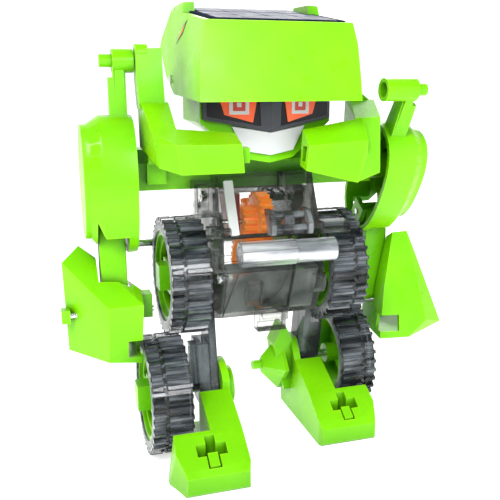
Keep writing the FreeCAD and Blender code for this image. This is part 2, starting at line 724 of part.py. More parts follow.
def build_counter_gear():
    """Pinion on the drive gear and a larger gear on the motor pinion, in one piece."""
    gear = SketchBody("counter_gear")
    pinion_phase = mesh_phase(HIP, DRIVE_TEETH, DRIVE_PHASE, COUNTER, PINION_TEETH)
    gear.pad("x", -6.2, -1.3, gear_outline(COUNTER, PINION_TEETH, pinion_phase))
    gear.pad("x", -1.5, 2.8, gear_outline(COUNTER, COUNTER_TEETH, COUNTER_PHASE))
    gear.cut("x", -26.2, 18.7, circle(COUNTER, COUNTER_SHAFT_RAD + 0.06))


def build_motor_pinion():
    pinion = SketchBody("motor_pinion")
    phase = mesh_phase(COUNTER, COUNTER_TEETH, COUNTER_PHASE, MOTOR, MOTOR_TEETH)
    pinion.pad("x", -1.6, 2.9, gear_outline(MOTOR, MOTOR_TEETH, phase))
    pinion.cut("x", -21.6, 22.9, circle(MOTOR, MOTOR_SHAFT_RAD + TIGHT_GAP))


def build_clutch_disc():
    disc = SketchBody("clutch_disc")
    disc.pad("x", 9.2, 12.8, circle(HIP, 12.6))
    disc.pad("x", 8.0, 15.2, circle(HIP, 4.2))
    disc.cut("x", 0.0, 30.0, circle(HIP, shaft_rad + TIGHT_GAP))


def build_motor_case():
    """Round can with flats in front and behind."""
    case = SketchBody("motor_case")
    case.pad("x", 3.7, 15.3, circle(MOTOR, 7.0))
    case.cut("z", 60.0, 90.0, rect(3.0, 16.0, MOTOR[0] + 5.6, MOTOR[0] + 9.0))
    case.cut("z", 60.0, 90.0, rect(3.0, 16.0, MOTOR[0] - 9.0, MOTOR[0] - 5.6))
    case.cut("x", 3.4, 14.4, circle(MOTOR, MOTOR_SHAFT_RAD + 0.06))


def build_motor_bracket():
    bracket = SketchBody("motor_bracket")
    outline = [(-3.4, 71.0), (-3.4, 86.5), (16.2, 86.5), (20.6, 78.0), (20.6, 70.0), (4.0, 70.0)]
    bracket.pad("x", -9.8, -7.2, outline)
    bracket.cut("x", -20.0, 0.0, circle(COUNTER, COUNTER_SHAFT_RAD + 0.05))


def build_motor_leads():
    """Two wires from above the motor towards the front."""
    y, z = MOTOR
    route = [(y, z + 7.4), (y - 1.4, z + 8.1), (6.0, 86.0), (0.0, 85.7), (-4.0, 84.2)]
    leads = []
    for x in (6.0, 9.6):
        points = [Vector(x, *place) for place in route]
        curve = Part.BSplineCurve()
        curve.interpolate(points)
        heading = curve.tangent(curve.FirstParameter)[0]
        profile = Part.Wire(Part.makeCircle(0.45, points[0], heading))
        leads.append(Part.Wire(curve.toShape()).makePipeShell([profile], True, True))
    feature("motor_leads", Part.makeCompound(leads))


# ------------------------------------------------------------------ shoulders
def build_shoulder_beam():
    beam = SketchBody("shoulder_beam")
    section = [(-2.4, 88.7), (-2.4, 97.6), (3.0, 101.6), (12.6, 101.6), (12.6, 88.3), (4.0, 88.3)]
    socket = circle(PIVOT, 2.0)
    beam.pad("x", -beam_half, beam_half, section)
    beam.cut("x", beam_half - 13.0, beam_half + 1, socket)
    beam.cut("x", -beam_half - 1, -beam_half + 13.0, socket)
    # pockets in the upper face, then the neck socket
    beam.cut("z", 96.0, 102.0, rect(-38.0, -16.0, 4.6, 11.0), rect(16.0, 38.0, 4.6, 11.0))
    beam.cut("z", 87.0, 102.0, circle((0.0, NECK_Y), neck_rad - 2.45))


def build_shoulder_pin(side):
    """Stem held in the beam, with a flange just outside the beam's end."""
    pin = build_rod("shoulder_pin_" + SIDES[side], beam_half - 12.0, 56.6, PIVOT, 1.95, side)
    pin.pad("x", beam_half + 0.2, beam_half + 1.6, circle(PIVOT, 4.0))


# ------------------------------------------------------------------ jaw claws
# Hull corners: x from the midplane, y, z. The left claw's bar reaches lower and further in.
CLAW_BAR = {
    -1: [(38.2, -24.0, 98.6), (32.6, -30.4, 97.0), (13.6, -30.4, 97.0), (13.6, -22.0, 97.0),
         (33.0, -20.5, 98.0), (39.0, -22.5, 106.0), (34.0, -29.8, 105.6), (14.2, -29.8, 105.4),
         (14.2, -21.6, 108.2), (32.0, -20.0, 109.6), (38.8, -20.5, 108.4)],
    1: [(9.0, -23.0, 95.9), (10.0, -23.0, 103.8), (27.0, -23.0, 91.4), (30.5, -22.6, 105.0),
        (9.0, -17.5, 97.0), (9.6, -17.5, 108.4), (33.0, -17.5, 93.0), (31.0, -17.5, 112.0)],
}
CLAW_ARM = {
    -1: [(38.6, -24.0, 99.0), (31.4, -21.0, 99.0), (31.0, -1.4, 103.0), (40.2, -1.4, 103.0),
         (39.2, -22.8, 107.0), (32.0, -20.4, 109.6), (31.4, -6.0, 117.0), (40.2, -6.0, 117.4),
         (31.6, -1.4, 117.0), (40.4, -1.4, 117.4)],
    1: [(27.0, -22.8, 91.6), (36.5, -20.0, 94.0), (31.2, -1.4, 103.0), (40.2, -1.4, 103.0),
        (28.0, -17.5, 112.0), (36.8, -18.0, 112.0), (31.4, -6.0, 117.0), (40.2, -6.0, 117.4),
        (31.6, -1.4, 117.0), (40.4, -1.4, 117.4)],
}
POST_JOINT = [(41.2, -6.6, 124.0), (32.9, -6.6, 124.0), (32.9, -0.6, 124.0), (41.2, -0.6, 124.0)]
POST_LOWER = [(40.6, -6.6, 115.0), (32.4, -6.6, 115.0), (32.4, -0.6, 115.0),
              (40.6, -0.6, 115.0)] + POST_JOINT
POST_UPPER = POST_JOINT + [(41.2, -6.0, 133.2), (33.1, -6.0, 133.6), (33.1, -1.2, 133.6),
                           (41.2, -1.2, 133.2)]
POST_LEFT = [(40.2, -6.0, 116.0), (31.6, -6.0, 116.0), (31.6, -1.4, 116.0), (40.2, -1.4, 116.0),
             (36.0, -5.4, 119.4), (31.6, -5.4, 119.4), (31.6, -1.6, 119.4), (36.0, -1.6, 119.4)]


def claw_post(side):
    """Post beside the head: short on the left, tall with a round head on the right."""
    if side > 0:
        return hull(POST_LEFT)
    post = hull(mirrored(side, POST_LOWER)).fuse(hull(mirrored(side, POST_UPPER)))
    return post.fuse(rod_x(-41.2, -37.4, -3.6, 132.2, 2.6))


def build_jaw_claw(side):
    """Front bar, side arm and post in one moulding."""
    bar = hull(mirrored(side, CLAW_BAR[side]))
    arm = hull(mirrored(side, CLAW_ARM[side]))
    claw = bar.fuse(arm).fuse(claw_post(side))
    if side < 0:  # lug at the inner tip
        claw = claw.fuse(side_box(side, 11.2, 13.8, -27.6, -24.0, 99.6, 104.2))
    else:  # recess in the inner tip
        claw = claw.cut(side_box(side, 8.0, 12.0, -21.6, -18.9, 98.6, 103.4))
    # strut against the front of the beam
    claw = claw.fuse(side_box(side, 32.4, 38.6, -4.6, -2.42, 91.0, 104.0))
    claw = claw.fuse(side_box(side, 32.4, 38.6, -8.0, -2.42, 97.9, 104.6))
    feature("jaw_claw_" + SIDES[side], claw.removeSplitter())


# ------------------------------------------------------------------ arms
ARM_TURN = {-1: 0.0, 1: float(arm_turn)}
ARM_TUBE = (-0.6, tube_z)
ARM_TUBE_INNER = {-1: 41.5, 1: 36.6}
UPRIGHT_ELBOW = (0.0, 74.6)
WRIST = {-1: (-2.5, 48.6), 1: (10.5, 43.4)}
WRIST_PIN = {-1: (37.6, 67.4), 1: (43.0, 66.0)}  # ends, from the midplane
PIN_RAD = 1.0


def posed_elbow(side):
    """The upright arm's elbow after the arm's turn about the shoulder pin."""
    angle = math.radians(ARM_TURN[side])
    y = UPRIGHT_ELBOW[0] - float(PIVOT[0])
    z = UPRIGHT_ELBOW[1] - float(PIVOT[1])
    return (float(PIVOT[0]) + y * math.cos(angle) - z * math.sin(angle),
            float(PIVOT[1]) + y * math.sin(angle) + z * math.cos(angle))


ELBOW = {side: posed_elbow(side) for side in SIDES}


def add_pod_shell(pod, side):
    """Dished oval shell with a smaller crown on its outer face."""
    middle = (0.6, shoulder_z + 0.4)
    rim_end = pod_outer - 6.0
    crown_start = pod_outer - 1.8
    rim = oval(middle, pod_half_y, pod_half_z)
    crown = oval(shift([middle], -0.2, 1.2)[0], pod_half_y - 3.0, pod_half_z - 4.0)
    pod.pad("x", pod_inner, rim_end, rim)
    pod.loft("pod_crown_" + SIDES[side], rim_end, rim, crown_start, crown)
    pod.pad("x", crown_start, pod_outer, crown)
    pod.cut("x", pod_inner - 1.0, pod_outer - 6.6,
            oval(middle, pod_half_y - 1.6, pod_half_z - 1.6))
    pod.cut("x", pod_inner - 1.0, pod_outer - 3.2,
            oval(shift([middle], -0.2, 1.0)[0], pod_half_y - 4.6, pod_half_z - 6.0))


def add_arm_tube(pod, side):
    """Strut with two webs above the pod, and the tube on top."""
    inner = ARM_TUBE_INNER[side]
    foot_z = shoulder_z + 19.4
    strut = [(-3.4, foot_z + 0.6), (-3.0, tube_z - 2.0), (3.0, tube_z - 2.0), (4.0, foot_z + 0.6)]
    web = [(-3.6, foot_z), (-2.4, tube_z - 2.0), (-0.6, tube_z - 2.0), (-1.2, foot_z)]
    outer_web = [(-3.6, foot_z), (-2.6, tube_z - 5.0), (-0.8, tube_z - 5.0), (-1.2, foot_z)]
    pod.pad("x", 44.6, 47.4, strut)
    pod.pad("x", 44.0, 48.0, web)
    pod.pad("x", 47.9, 49.6, outer_web)
    pod.pad("x", inner, 48.0, circle(ARM_TUBE, 3.7))
    pod.pad("x", 48.0, 51.9, circle(ARM_TUBE, 2.0))
    pod.cut("x", inner - 1.0, 46.0, circle(ARM_TUBE, 2.5))


def build_arm_pod(side):
    """Pod drawn upright and turned about the shoulder pin by its placement."""
    pivot = Vector(0, *PIVOT)
    turn = FreeCAD.Placement(pivot, FreeCAD.Rotation(Vector(1, 0, 0), ARM_TURN[side]))
    to_pivot = FreeCAD.Placement(pivot * -1.0, FreeCAD.Rotation())
    pod = SketchBody("arm_pod_" + SIDES[side], side, turn * to_pivot)
    add_pod_shell(pod, side)
    pod.pad("x", pod_inner + 2.0, 56.4, circle(PIVOT, 4.7))
    add_arm_tube(pod, side)
    pod.cut("x", 40.0, 57.0, circle(PIVOT, shaft_rad + 0.51))
    # slot in the lower rim for the forearm, and a tab with the elbow hole
    pod.cut("z", 58.0, 80.0, rect(45.6, 55.4, -10.0, 8.6))
    pod.pad("x", 43.6, 45.4, rect(-3.6, 3.6, 68.9, 78.4))
    pod.cut("x", 40.0, 45.5, circle(UPRIGHT_ELBOW, PIN_RAD + 0.06))


def build_forearm(side):
    """Forearm with its elbow and wrist pins."""
    name = SIDES[side]
    elbow, wrist = ELBOW[side], WRIST[side]
    forearm = SketchBody("forearm_" + name, side)
    forearm.pad("x", 46.2, 54.8, bar_outline(elbow, wrist, 3.1, 3.4))
    forearm.cut("x", 40.0, 60.0, circle(elbow, PIN_RAD + TIGHT_GAP))
    forearm.cut("x", 40.0, 60.0, circle(wrist, PIN_RAD + 0.06))
    build_rod("elbow_pin_" + name, 43.2, 54.6, elbow, PIN_RAD, side)
    build_rod("wrist_pin_" + name, *WRIST_PIN[side], wrist, PIN_RAD, side)


# ------------------------------------------------------------------ hands
# "corners" are hull corners: x from the midplane, y, z.
# "added" and "cut" are boxes: near x, far x, low y, high y, low z, high z.
# "bore" gives the near and far ends of the wrist hole.
HANDS = {
    -1: {
        "corners": [
            (61.0, 4.0, 70.5), (64.5, 7.0, 64.0), (66.9, -1.5, 66.3), (66.0, 2.0, 35.0),
            (64.0, 8.0, 38.0), (53.8, -14.0, 53.3), (53.9, -14.0, 46.3), (54.2, -11.2, 34.0),
            (43.5, -11.0, 32.7), (42.6, -14.0, 53.6), (42.9, -14.0, 46.8), (42.2, -6.5, 56.6),
            (52.5, -5.5, 59.4), (42.4, 6.5, 54.5), (43.4, 6.5, 34.0), (56.0, 6.0, 60.0)],
        "added": [(38.4, 43.2, -5.4, 0.6, 46.4, 54.4), (65.2, 68.0, -4.6, -0.4, 46.4, 50.8)],
        "cut": [(45.2, 55.8, -7.2, 12.0, 44.6, 80.0), (43.4, 63.4, 3.2, 12.0, 37.0, 58.0),
                (36.0, 47.8, -20.0, -6.4, 35.2, 41.2), (45.2, 55.8, -3.0, 12.0, 60.0, 66.0)],
        "bore": (36.6, 68.4)},
    1: {
        "corners": [
            (54.6, 2.5, 68.0), (60.6, 2.5, 68.2), (65.4, 8.0, 64.0), (62.5, 15.5, 60.0),
            (53.0, 15.5, 60.0), (50.6, -0.5, 47.8), (50.2, 15.5, 46.0), (48.4, -3.0, 28.0),
            (59.5, -5.0, 28.2), (75.4, -1.0, 31.8), (73.5, 11.0, 34.0), (49.2, 15.0, 30.0),
            (66.5, -5.4, 34.5)],
        "added": [(48.6, 52.2, 6.6, 13.6, 38.4, 46.6)],
        "cut": [(45.2, 55.9, 6.4, 18.0, 39.4, 80.0), (51.0, 70.0, 11.5, 18.0, 34.0, 54.0),
                (46.0, 56.0, -8.0, 1.5, 30.6, 36.8)],
        "bore": (46.6, 72.5)},
}


def build_hand(side):
    """Faceted scoop, open at the back and top for the forearm."""
    data = HANDS[side]
    corners = mirrored(side, data["corners"])
    hand = hull(corners).cut(hull(corners, wall))
    for block in data["added"]:
        hand = hand.fuse(side_box(side, *block))
    for block in data["cut"]:
        hand = hand.cut(side_box(side, *block))
    low, high = sorted(side * end for end in data["bore"])
    hand = hand.cut(rod_x(low, high, *WRIST[side], PIN_RAD + 0.02))
    feature("hand_" + SIDES[side], hand.removeSplitter())


# ------------------------------------------------------------------ visor and panel
PANEL_SLOPE = 0.155  # rise of the panel per millimetre towards the back
VISOR_PIN = (12.0, 124.0)
# Left half of the visor's hull corners: x, y, z
VISOR_CORNERS = [
    (visor_half, -26.6, visor_low), (visor_half - 0.2, -25.7, visor_low + 6.4),
    (visor_half - 1.0, -24.3, visor_low + 16.9), (visor_top, -23.2, visor_high),
    (26.6, 9.0, visor_low + 1.6), (27.0, 20.0, 125.4), (27.2, 28.4, 135.6),
    (26.6, 27.6, 138.6), (24.2, 21.0, visor_high + 44.2 * PANEL_SLOPE - 0.4)]
EAR_CORNERS = [
    (19.6, 5.0, 143.0), (24.4, 5.0, 143.0), (19.9, 5.6, 148.6), (23.4, 5.6, 148.4),
    (19.6, 24.0, 143.0), (25.4, 24.0, 141.0), (20.2, 20.0, 149.0), (23.6, 20.0, 148.2),
    (20.4, 25.0, 145.0), (25.0, 25.2, 143.0)]


def slab(half, y0, y1, below, above):
    """Slab along the panel's slope, its faces given in Z from the panel's upper face."""
    def surface(y):
        return visor_high + 0.55 + (y + 22.0) * PANEL_SLOPE
    return hull([(x, y, surface(y) + rise)
                 for x in (-half, half) for y in (y0, y1) for rise in (below, above)])


def build_visor():
    corners = both(VISOR_CORNERS)
    inner_planes = [(normal, distance - 1.7) for normal, distance in hull_planes(corners)]
    # the roof is thicker: the hollow ends at a plane parallel to the panel
    roof = Vector(0, -PANEL_SLOPE, 1.0)
    roof = roof * (1.0 / roof.Length)
    inner_planes.append((roof, roof.dot(Vector(0, -22.0, visor_high - 2.9))))
    visor = hull(corners).cut(solid_from_planes(inner_planes))
    visor = visor.cut(box(-24.1, 24.1, -24.7, 18.6, 110.0, 126.4))
    for side in SIDES:
        visor = visor.fuse(hull(mirrored(side, EAR_CORNERS)))
    # seat for the panel and its backing
    visor = visor.cut(slab(21.9, -22.15, 4.95, -2.9, 4.0))
    visor = visor.cut(slab(19.45, 4.0, 21.4, -2.9, 5.6))
    visor = visor.cut(rod_x(-30, 30, *VISOR_PIN, 1.55))
    feature("visor", visor.removeSplitter())


def build_panel():
    """Solar panel, wide in front and narrower between the ears, with its backing."""
    panel = slab(21.7, -21.6, 4.8, -panel_thick, 0.0)
    panel = panel.fuse(slab(19.3, 4.0, 21.2, -panel_thick, 0.0))
    feature("solar_panel", panel.removeSplitter())
    backing_top = -panel_thick - 0.05
    backing = slab(21.8, -22.05, 4.85, -2.7, backing_top)
    backing = backing.fuse(slab(19.35, 4.0, 21.3, -2.7, backing_top))
    feature("panel_backing", backing.removeSplitter())


# ------------------------------------------------------------------ head and face
FACE_Y = -13.2  # front ridge of the face, at the midplane
FACE_SWEEP = 0.162  # how fast the face falls back with the distance from the midplane
FACE_GAP = 0.03
MASK_FRONT = 1.4
# Left halves of the head's hull corners: x, y, z
HEAD_FRONT = [
    (0.001, FACE_Y, 97.8), (0.001, FACE_Y, 136.0), (8.4, -11.84, 99.2), (22.2, -9.6, 110.6),
    (22.2, -9.6, 136.0), (22.2, -3.6, 110.6), (22.2, -3.6, 136.0), (8.4, -3.6, 99.2),
    (0.001, -3.6, 97.8)]
HEAD_REAR = [
    (9.0, -5.0, 103.0), (22.2, -5.0, 110.6), (22.2, -5.0, 136.0), (9.0, 15.2, 103.0),
    (22.2, 15.2, 110.6), (22.2, 15.2, 121.0), (22.2, 14.0, 129.0), (22.2, 8.0, 136.0)]
# Outlines seen from the front, for one half of the face: x, z
MASK_CORNER = [(23.0, 112.0), (23.0, 106.0), (0.0, 106.0), (0.0, 107.75)]
MOUTH_CUT = [(14.0, 98.0), (0.0, 98.0), (0.0, 100.3), (8.2, 101.7), (12.4, 109.6),
             (0.0, 107.55), (0.0, 112.0), (14.0, 112.0)]
EYE_OUTLINE = [(4.7, 117.4), (5.9, 110.7), (14.9, 113.2), (16.3, 117.8), (14.6, 121.6),
               (6.2, 121.6)]


def build_head_block():
    head = hull(both(HEAD_FRONT)).fuse(hull(both(HEAD_REAR)))
    head = head.cut(box(-20.4, 20.4, -8.0, 12.4, 112.0, 134.2))
    head = head.cut(rod_x(-30, 30, *VISOR_PIN, 1.56))
    head = head.cut(Part.makeCylinder(4.03, 10.0, Vector(0, NECK_Y, 100.0)))
    feature("head_block", head.removeSplitter())


def build_neck_post():
    neck = SketchBody("neck_post")
    neck.pad("z", 88.5, 109.0, circle((0.0, NECK_Y), neck_rad - 2.5))
    neck.pad("z", 101.7, 102.9, circle((0.0, NECK_Y), neck_rad))


def face_band(xs, back, front):
    """Plan outline of a layer on the face between two offsets in front of it."""
    def face(x, offset):
        return (x, FACE_Y + FACE_SWEEP * abs(x) - offset)
    return [face(x, back) for x in xs] + [face(x, front) for x in reversed(xs)]


def build_eye_mask():
    mask = SketchBody("eye_mask")
    mask.pad("z", 107.7, 124.7, face_band([-21.6, 0, 21.6], FACE_GAP, MASK_FRONT))
    for side in SIDES:
        mask.cut("y", -17.0, -5.0, mirrored(side, MASK_CORNER))


def build_mouth_plate():
    mouth = SketchBody("mouth_plate")
    mouth.pad("z", 100.0, 110.2, face_band([-12.6, 0, 12.6], FACE_GAP, 1.1))
    for side in SIDES:
        mouth.cut("y", -17.0, -5.0, mirrored(side, MOUTH_CUT))


def build_eye(side):
    """Thin six-sided plate just in front of the mask."""
    eye = SketchBody("eye_" + SIDES[side], side)
    eye.pad("z", 109.0, 123.0, face_band([4.4, 16.6], MASK_FRONT + 0.02, 1.85))
    # everything between the frame and the eye's outline goes
    eye.cut("y", -18.0, -5.0, rect(3.0, 18.0, 107.0, 125.0), EYE_OUTLINE)


# ------------------------------------------------------------------ build and export
def export_parts():
    doc.recompute()
    failed = [item.Name for item in doc.Objects
              if item.State and ("Invalid" in item.State or "Error" in item.State)]
    if failed:
        raise RuntimeError("failed objects: %s" % failed)
    for cut in CUTS:
        base = cut.BaseFeature
        if base is not None and not cut.Shape.Volume < base.Shape.Volume - 1e-4:
            raise RuntimeError("pocket cuts nothing: " + cut.Name)
    os.makedirs("parts", exist_ok=True)
    for node in NODES:
        shape = node.Shape
        if shape.isNull() or not shape.isValid() or not shape.Solids:
            raise RuntimeError("bad shape: " + node.Label)
        shape = shape.copy()
        shape.translate(EXPORT_SHIFT)
        shape.exportStep("parts/%s.step" % node.Label)


PAIRED = (build_wheels, build_leg_strut, build_ankle_axle, build_foot, build_shoulder_pin,
          build_jaw_claw, build_arm_pod, build_forearm, build_hand, build_eye)
SINGLE = (build_gearbox_shell_right, build_gearbox_shell_left, build_front_tube,
          build_front_clip, build_lower_hook, build_front_latch, build_white_link,
          build_case_screws, build_shafts, build_drive_gear, build_counter_gear,
          build_motor_pinion, build_clutch_disc, build_motor_case, build_motor_bracket,
          build_motor_leads, build_shoulder_beam, build_visor, build_panel,
          build_head_block, build_neck_post, build_eye_mask, build_mouth_plate)

for build in PAIRED:
    for side in SIDES:
        build(side)
for build in SINGLE:
    build()
build_rod("visor_pin", -27.4, 27.4, VISOR_PIN, 1.5)
export_parts()
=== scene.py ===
# A toy robot: solar panel on its visor, clear gearbox body, and two tread wheels on each side.
# It faces -y with its left side at +x and z up. Piece sizes are in millimetres; the stage,
# the lights and the camera are in metres.
import bpy
import bmesh
import math
from types import SimpleNamespace
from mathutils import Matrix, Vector


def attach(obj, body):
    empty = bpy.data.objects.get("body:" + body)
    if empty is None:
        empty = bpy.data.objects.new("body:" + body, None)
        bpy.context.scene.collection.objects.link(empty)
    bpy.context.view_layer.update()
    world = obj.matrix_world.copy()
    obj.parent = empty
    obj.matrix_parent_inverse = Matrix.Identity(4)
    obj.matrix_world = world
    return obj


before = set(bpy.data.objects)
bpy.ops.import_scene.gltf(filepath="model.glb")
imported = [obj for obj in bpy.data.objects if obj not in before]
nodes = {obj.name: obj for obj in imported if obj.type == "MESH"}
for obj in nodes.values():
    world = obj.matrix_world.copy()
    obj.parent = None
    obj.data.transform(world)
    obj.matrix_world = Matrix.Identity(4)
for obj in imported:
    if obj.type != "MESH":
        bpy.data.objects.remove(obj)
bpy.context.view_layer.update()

MM = 0.001
OFFSET = Vector((-3.7, 7.2, 0.0))       # from the piece coordinates below to the frame's, mm
SIDES = ((-1, "right"), (1, "left"))    # sign of x, and the robot's own side


# ------------------------------------------------------------------ shader building
class Shader:
    """Builds the node tree of a material or a world."""

    def __init__(self, owner):
        owner.use_nodes = True
        self.tree = owner.node_tree
        self.tree.nodes.clear()

    def node(self, kind, inputs=None, **settings):
        """Add a node; each input is a socket to link, or a value."""
        made = self.tree.nodes.new(kind)
        for key, value in settings.items():
            setattr(made, key, value)
        for key, value in (inputs or {}).items():
            socket = made.inputs[key]
            if isinstance(value, bpy.types.NodeSocket):
                self.tree.links.new(value, socket)
            elif socket.type == "RGBA":
                socket.default_value = (*value, 1)
            else:
                socket.default_value = value
        return made

    def remap(self, value, span, to=(0.0, 1.0)):
        return self.node("ShaderNodeMapRange", {
            "Value": value, "From Min": span[0], "From Max": span[1],
            "To Min": to[0], "To Max": to[1]}).outputs["Result"]

    def mix(self, factor, first, second):
        # Sockets 6, 7 and output 2 are the colour ones.
        return self.node("ShaderNodeMix", {0: factor, 6: first, 7: second},
                         data_type="RGBA").outputs[2]

    def math(self, operation, first, second, clamp=False):
        return self.node("ShaderNodeMath", {0: first, 1: second},
                         operation=operation, use_clamp=clamp).outputs[0]

    def noise(self, scale, detail=3.0, stretch=(1, 1, 1)):
        coords = self.node("ShaderNodeTexCoord").outputs["Object"]
        mapping = self.node("ShaderNodeMapping", {"Scale": stretch, "Vector": coords})
        return self.node("ShaderNodeTexNoise", {
            "Scale": scale, "Detail": detail, "Vector": mapping.outputs["Vector"]}).outputs["Fac"]

    def edge_mask(self, radius, full_at):
        """1 where the rounded normal leaves the true one by a cosine of full_at, 0 on faces."""
        rounded = self.node("ShaderNodeBevel", {"Radius": radius}, samples=4)
        true = self.node("ShaderNodeNewGeometry")
        cosine = self.node("ShaderNodeVectorMath", {
            0: rounded.outputs["Normal"], 1: true.outputs["Normal"]}, operation="DOT_PRODUCT")
        return self.remap(cosine.outputs["Value"], span=(1.0, full_at))

    def bump(self, height, strength, distance):
        return self.node("ShaderNodeBump", {
            "Strength": strength, "Distance": distance, "Height": height}).outputs["Normal"]

    def output(self, kind, shader):
        self.node(kind, {"Surface": shader})


def plastic(name, base, dark, light, rough=0.35, metal=0.0, spec=0.5, coat=0.25, edge=0.45,
            cloud=45.0, grain=900.0, stretch=(1, 1, 1), hollow_shade=None, painted_glow=0.0):
    """Opaque moulding: clouded base over dark, a painted sheen of light on glancing rims, and light
    on worn edges.

    edge is the strength of the wear, cloud and grain are noise scales, hollow_shade is a colour of
    painted shade for the hollows, and painted_glow is the strength of a painted glow in the base
    colour.
    """
    material = bpy.data.materials.new(name)
    shader = Shader(material)
    clouds = shader.noise(scale=cloud, stretch=stretch)
    colour = shader.mix(shader.remap(clouds, span=(0.32, 0.68)), dark, base)
    # Painted sheen: faces seen at a glancing angle are mixed towards light, a painted stand-in for
    # light glowing through the plastic.
    facing = shader.node("ShaderNodeLayerWeight", {"Blend": 0.35}).outputs["Facing"]
    colour = shader.mix(shader.remap(facing, span=(0.15, 0.95), to=(0.0, 0.55)), colour, light)

    patches = shader.remap(shader.noise(scale=380.0, detail=4.0), span=(0.35, 0.65), to=(0.35, 1.0))
    wear = shader.math("MULTIPLY", shader.edge_mask(radius=0.0005, full_at=0.94), patches)
    colour = shader.mix(shader.math("MULTIPLY", wear, edge), colour, light)
    # Painted shade: hollows found by ambient occlusion are darkened towards the shade colour.
    if hollow_shade:
        openness = shader.node("ShaderNodeAmbientOcclusion", {"Distance": 0.016}, samples=6)
        painted_shade_mask = shader.remap(openness.outputs["AO"], span=(0.25, 0.95), to=(0.85, 0.0))
        colour = shader.mix(painted_shade_mask, colour, hollow_shade)

    inputs = {
        "Base Color": colour,
        "Roughness": shader.remap(shader.noise(scale=160.0, detail=4.0, stretch=stretch),
                                  span=(0.3, 0.7), to=(rough * 0.8, rough * 1.3)),
        "Normal": shader.bump(shader.noise(scale=grain, detail=2.0, stretch=stretch),
                              strength=0.06, distance=0.0002),
        "Metallic": metal,
        "Specular IOR Level": spec,
        "Coat Weight": coat,
        "Coat Roughness": 0.12,
    }
    # Painted glow: the part gives off its base colour as light, though it is no lamp.
    if painted_glow:
        inputs.update({"Emission Color": base, "Emission Strength": painted_glow})
    body = shader.node("ShaderNodeBsdfPrincipled", inputs)
    shader.output("ShaderNodeOutputMaterial", body.outputs["BSDF"])
    return material


def clear(name, tint, dark, light, solid, edge_solid, cloud=60.0, stretch=(1, 1, 1),
          edge_colour=(0.012, 0.013, 0.014), metal=0.0):
    """See-through moulding: tinted, streaky, darker and denser along its edges.

    solid and edge_solid are the opacities of open faces and of edges.
    """
    material = bpy.data.materials.new(name)
    shader = Shader(material)
    streaks = shader.noise(scale=cloud, detail=4.0, stretch=stretch)
    pale_tint = tuple(min(1.0, channel * 1.08) for channel in tint)
    see_through = shader.node("ShaderNodeBsdfTransparent", {
        "Color": shader.mix(shader.remap(streaks, span=(0.3, 0.7)), tint, pale_tint)})

    edges = shader.edge_mask(radius=0.0006, full_at=0.93)
    colour = shader.mix(shader.remap(streaks, span=(0.40, 0.62)), dark, light)
    body = shader.node("ShaderNodeBsdfPrincipled", {
        "Base Color": shader.mix(edges, colour, edge_colour),
        "Metallic": metal,
        "Roughness": shader.remap(shader.noise(scale=200.0, stretch=stretch),
                                  span=(0.3, 0.7), to=(0.07, 0.16)),
        "Coat Weight": 0.5,
        "Coat Roughness": 0.05,
        "Normal": shader.bump(shader.noise(scale=260.0, stretch=stretch),
                              strength=0.12, distance=0.0003),
    })

    # Opacity: the greater of glancing angle and edge, streaked, and thinned for shadows.
    fresnel = shader.node("ShaderNodeFresnel", {"IOR": 1.5}).outputs[0]
    opacity = shader.math("MAXIMUM",
                          shader.remap(fresnel, span=(0.03, 0.6), to=(solid, 0.95)),
                          shader.remap(edges, span=(0.0, 1.0), to=(0.0, edge_solid)), clamp=True)
    opacity = shader.math("MULTIPLY", opacity,
                          shader.remap(streaks, span=(0.3, 0.7), to=(0.75, 1.35)), clamp=True)
    shadow_ray = shader.node("ShaderNodeLightPath").outputs["Is Shadow Ray"]
    opacity = shader.math("MULTIPLY", opacity,
                          shader.remap(shadow_ray, span=(0.0, 1.0), to=(1.0, 0.35)), clamp=True)
    blend = shader.node("ShaderNodeMixShader", {
        0: opacity, 1: see_through.outputs[0], 2: body.outputs[0]})
    shader.output("ShaderNodeOutputMaterial", blend.outputs[0])
    return material


# ------------------------------------------------------------------ materials
# The green's hollow colour is painted shade, and its light colour also serves as a painted sheen on
# its rims.
green = plastic("green_plastic", base=(0.20, 0.66, 0.001), dark=(0.155, 0.56, 0.001),
                light=(0.46, 0.86, 0.012), rough=0.30, coat=0.08, spec=0.22,
                hollow_shade=(0.045, 0.20, 0.001))
# The orange gears carry a painted glow so that they show inside the dark gearbox.
orange = plastic("orange_plastic", base=(0.93, 0.27, 0.01), dark=(0.80, 0.20, 0.008),
                 light=(1.0, 0.50, 0.06), rough=0.3, painted_glow=0.25)
eye_orange = plastic("eye_orange", base=(1.0, 0.13, 0.005), dark=(0.85, 0.06, 0.004),
                     light=(1.0, 0.24, 0.02), edge=0.2)
eye_red = plastic("eye_core", base=(0.62, 0.035, 0.008), dark=(0.42, 0.02, 0.006),
                  light=(0.75, 0.07, 0.015), rough=0.4)
red = plastic("red_plastic", base=(0.34, 0.03, 0.02), dark=(0.22, 0.018, 0.015),
              light=(0.5, 0.09, 0.05))
white = plastic("white_plastic", base=(0.58, 0.59, 0.60), dark=(0.50, 0.52, 0.53),
                light=(0.95, 0.95, 0.95), rough=0.34, edge=0.2)
black = plastic("black_plastic", base=(0.004, 0.004, 0.007), dark=(0.003, 0.003, 0.005),
                light=(0.02, 0.022, 0.03), rough=0.3, edge=0.3, spec=0.25, coat=0.1)
grey = plastic("grey_trim", base=(0.045, 0.048, 0.06), dark=(0.03, 0.032, 0.04),
               light=(0.11, 0.115, 0.13), spec=0.3, coat=0.1)
seam_black = plastic("seam_black", base=(0.008, 0.009, 0.008), dark=(0.005, 0.006, 0.005),
                     light=(0.03, 0.035, 0.03))
steel = plastic("steel", base=(0.62, 0.64, 0.66), dark=(0.46, 0.48, 0.50),
                light=(0.85, 0.86, 0.88), rough=0.24, metal=1.0, coat=0.0, grain=500.0,
                stretch=(1, 14, 14), cloud=120.0)
